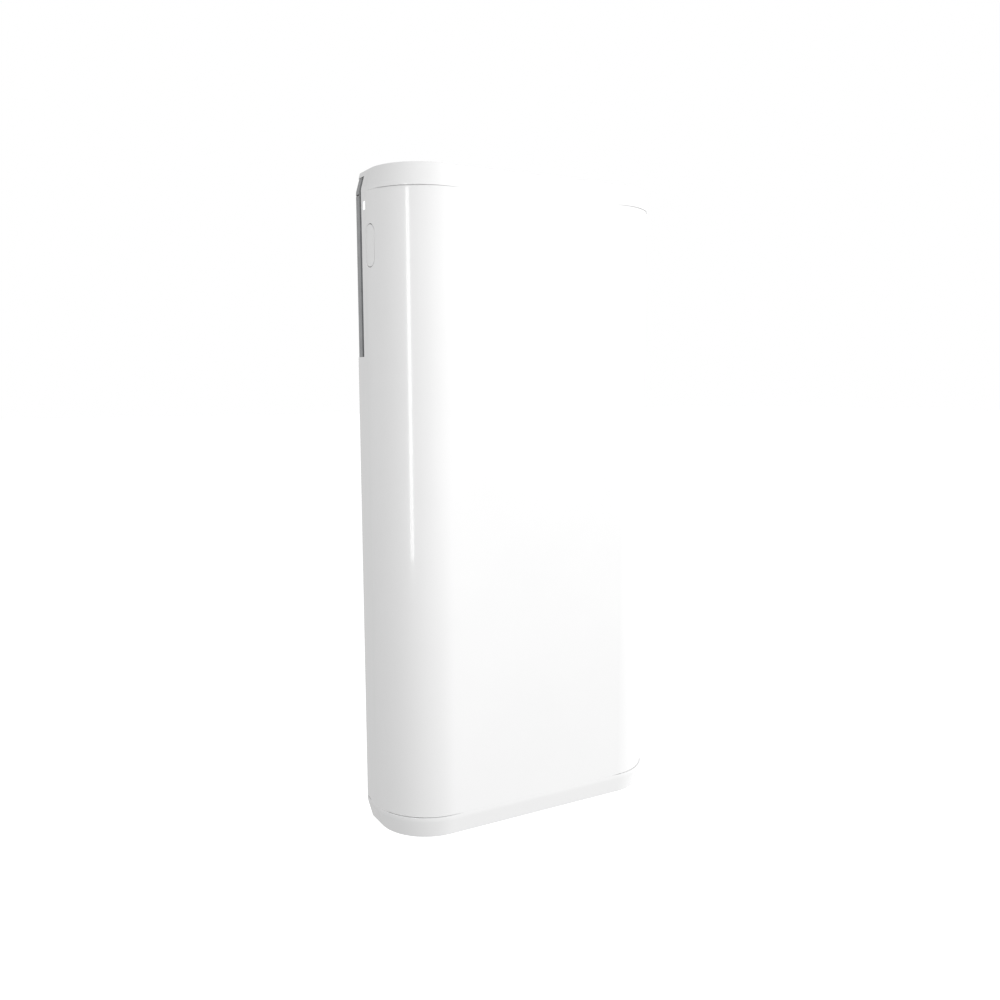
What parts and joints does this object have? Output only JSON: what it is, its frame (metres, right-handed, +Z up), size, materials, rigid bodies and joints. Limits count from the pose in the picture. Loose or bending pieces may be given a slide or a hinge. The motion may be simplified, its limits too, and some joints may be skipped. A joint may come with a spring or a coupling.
{
  "type": "wall battery unit",
  "caption": "Slim wall-hung storage battery with rounded front corners, end caps, side button and light, cable entry, inverter and cell modules inside",
  "frame": {"origin": "bottom of the unit, in the middle of its width and depth; the wall is the plane y = +0.0725 m", "axes": "+X to the right as seen from the front, -Y out of the front face into the room, +Z up"},
  "size_m": [0.49, 0.145, 1],
  "materials": {
    "zinc_steel": "zinc-plated, satin",
    "black_rubber": "matt",
    "aluminium": "satin",
    "white_paint": "gloss powder coat",
    "screw_steel": "zinc-plated",
    "white_plastic": "gloss",
    "grey_plastic": "fine texture",
    "gland_plastic": "satin",
    "black_plastic": "satin",
    "device_plastic": "satin",
    "terminal_plastic": "satin",
    "circuit_board": "solder mask with copper tracks",
    "brass": "nickel-free, satin",
    "lens_plastic": "translucent white",
    "cell_case": "blue film over aluminium",
    "busbar_metal": "satin",
    "cover_plastic": "fine texture",
    "capacitor_sleeve": "shrink sleeve",
    "copper_winding": "enamelled copper wire",
    "fuse_ceramic": "glazed ceramic",
    "red_cable": "satin jacket",
    "black_cable": "satin jacket",
    "red_plastic": "satin",
    "blue_plastic": "satin"
  },
  "bodies": {
    "wall_mount": {"wall_bracket": "zinc_steel"},
    "unit": {"rear_chassis": "zinc_steel", "hanger_rail": "zinc_steel", "wall_buffers": "black_rubber", "heat_sink": "aluminium", "housing_shell": "white_paint", "shell_screws": "screw_steel", "seal_frames": "zinc_steel", "gaskets": "black_rubber", "base_plate": "zinc_steel", "bottom_cap": "white_plastic", "bottom_cap_screws": "screw_steel", "cable_entry_trim": "grey_plastic", "cable_channel": "grey_plastic", "cable_glands": "gland_plastic", "gland_locknuts": "gland_plastic", "gland_plugs": "black_plastic", "bay_shelf": "zinc_steel", "shelf_grommets": "black_rubber", "cap_posts": "aluminium", "din_rail": "zinc_steel", "dc_breaker": "device_plastic", "terminal_blocks": "terminal_plastic", "comms_board": "circuit_board", "rj45_sockets": "black_plastic", "earth_stud": "brass", "earth_nuts": "brass", "button_guide": "device_plastic", "switch_board": "circuit_board", "tactile_switch": "black_plastic", "status_led": "lens_plastic", "status_light_lens": "lens_plastic", "module_trays": "aluminium", "lower_cells": "cell_case", "upper_cells": "cell_case", "cell_terminals": "aluminium", "cell_spacers": "device_plastic", "module_end_plates": "aluminium", "compression_straps": "screw_steel", "cell_busbars": "busbar_metal", "module_covers": "cover_plastic", "sense_boards": "circuit_board", "module_screws": "screw_steel", "inverter_board": "circuit_board", "board_standoffs": "brass", "power_modules": "black_plastic", "dc_capacitors": "capacitor_sleeve", "inductors": "copper_winding", "bms_board": "circuit_board", "main_contactor": "black_plastic", "main_fuse": "fuse_ceramic", "fuse_holder": "black_plastic", "positive_cables": "red_cable", "negative_cables": "black_cable"},
    "cap": {"top_cap": "white_plastic", "cap_entry_trim": "grey_plastic", "cap_screws": "screw_steel"},
    "button": {"power_button": "white_plastic", "switch_plunger": "red_plastic"},
    "toggle": {"breaker_toggle": "blue_plastic"}
  },
  "joints": [
    {"name": "lift_off", "type": "slide", "parent": "wall_mount", "child": "unit", "axis": [0, 0, 1], "range_m": [0, 0.025]},
    {"name": "cap_lift", "type": "slide", "parent": "unit", "child": "cap", "axis": [0, 0, 1], "range_m": [0, 0.06]},
    {"name": "button_press", "type": "slide", "parent": "unit", "child": "button", "axis": [1, 0, 0], "range_m": [0, 0.002], "stiffness_N_per_m": 1000, "springref_m": -0.001},
    {"name": "breaker_switch", "type": "hinge", "parent": "unit", "child": "toggle", "pos_m": [-0.02, 0, 0.937], "axis": [1, 0, 0], "range_deg": [0, 70]}
  ]
}
